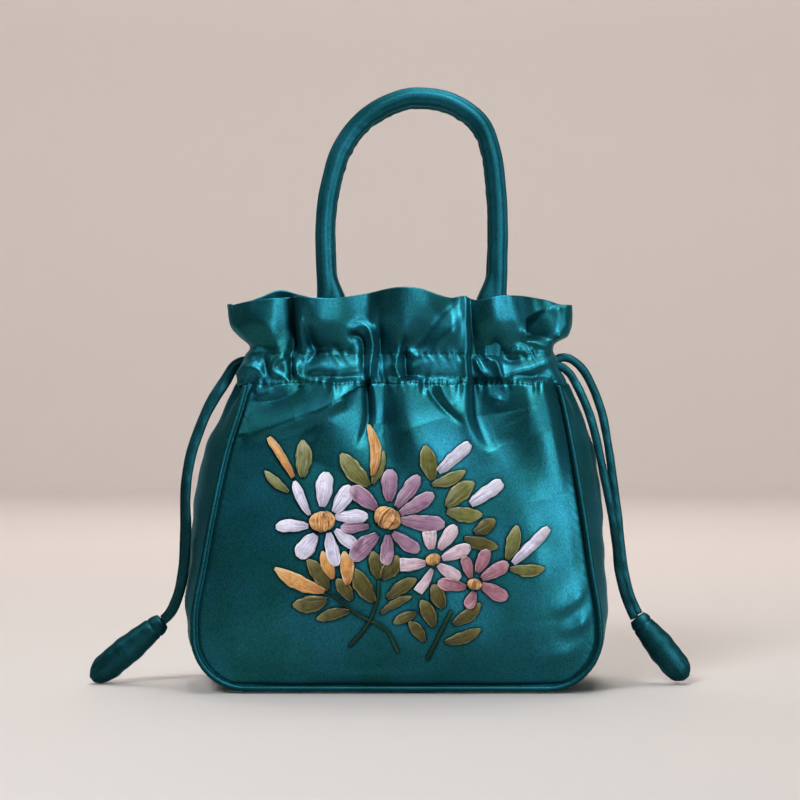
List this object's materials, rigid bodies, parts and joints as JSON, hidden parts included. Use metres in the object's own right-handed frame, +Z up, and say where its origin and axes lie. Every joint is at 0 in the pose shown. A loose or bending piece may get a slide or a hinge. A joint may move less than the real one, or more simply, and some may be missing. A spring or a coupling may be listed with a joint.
{
  "type": "embroidered bucket bag",
  "caption": "Satin drawstring bucket bag with a ruffled neck, twin padded handles, piped gusset and ribbon flowers on the front.",
  "frame": {"origin": "middle of the base, on the surface the bag stands on", "axes": "+Z up to the handles, front towards -Y, +X to the right seen from the front"},
  "size_m": [0.3401, 0.1062, 0.3375],
  "materials": {
    "satin_body": "woven satin, soft sheen",
    "satin_piping": "satin bias over cord",
    "satin_handle": "satin over a soft core, lengthwise seam",
    "satin_string": "flat satin tube, pressed edges",
    "ribbon_white": "silk ribbon, pale lilac white",
    "ribbon_mauve": "silk ribbon, mauve",
    "ribbon_blush": "silk ribbon, blush",
    "ribbon_rose": "silk ribbon, rose",
    "ribbon_gold": "silk ribbon, old gold",
    "ribbon_olive": "silk ribbon, light olive",
    "ribbon_leaf": "silk ribbon, dark olive"
  },
  "bodies": {
    "root": {"front_panel": "satin_body", "back_panel": "satin_body", "gusset": "satin_body", "collar": "satin_body", "piping_front": "satin_piping", "piping_rear": "satin_piping", "handle_front": "satin_handle", "handle_rear": "satin_handle", "string_left_front": "satin_string", "string_left_rear": "satin_string", "string_right_front": "satin_string", "string_right_rear": "satin_string", "tip_left": "satin_string", "tip_right": "satin_string", "flower_mauve": "ribbon_mauve", "flower_white": "ribbon_white", "flower_blush": "ribbon_blush", "flower_rose": "ribbon_rose", "bud_left": "ribbon_gold", "bud_middle": "ribbon_gold", "bud_upper_right": "ribbon_white", "bud_right": "ribbon_white", "bud_lower_right": "ribbon_white", "leaf_pair": "ribbon_olive", "leaf_fork": "ribbon_leaf", "gold_leaves": "ribbon_gold", "spray_left": "ribbon_leaf", "spray_right": "ribbon_leaf"}
  },
  "joints": []
}
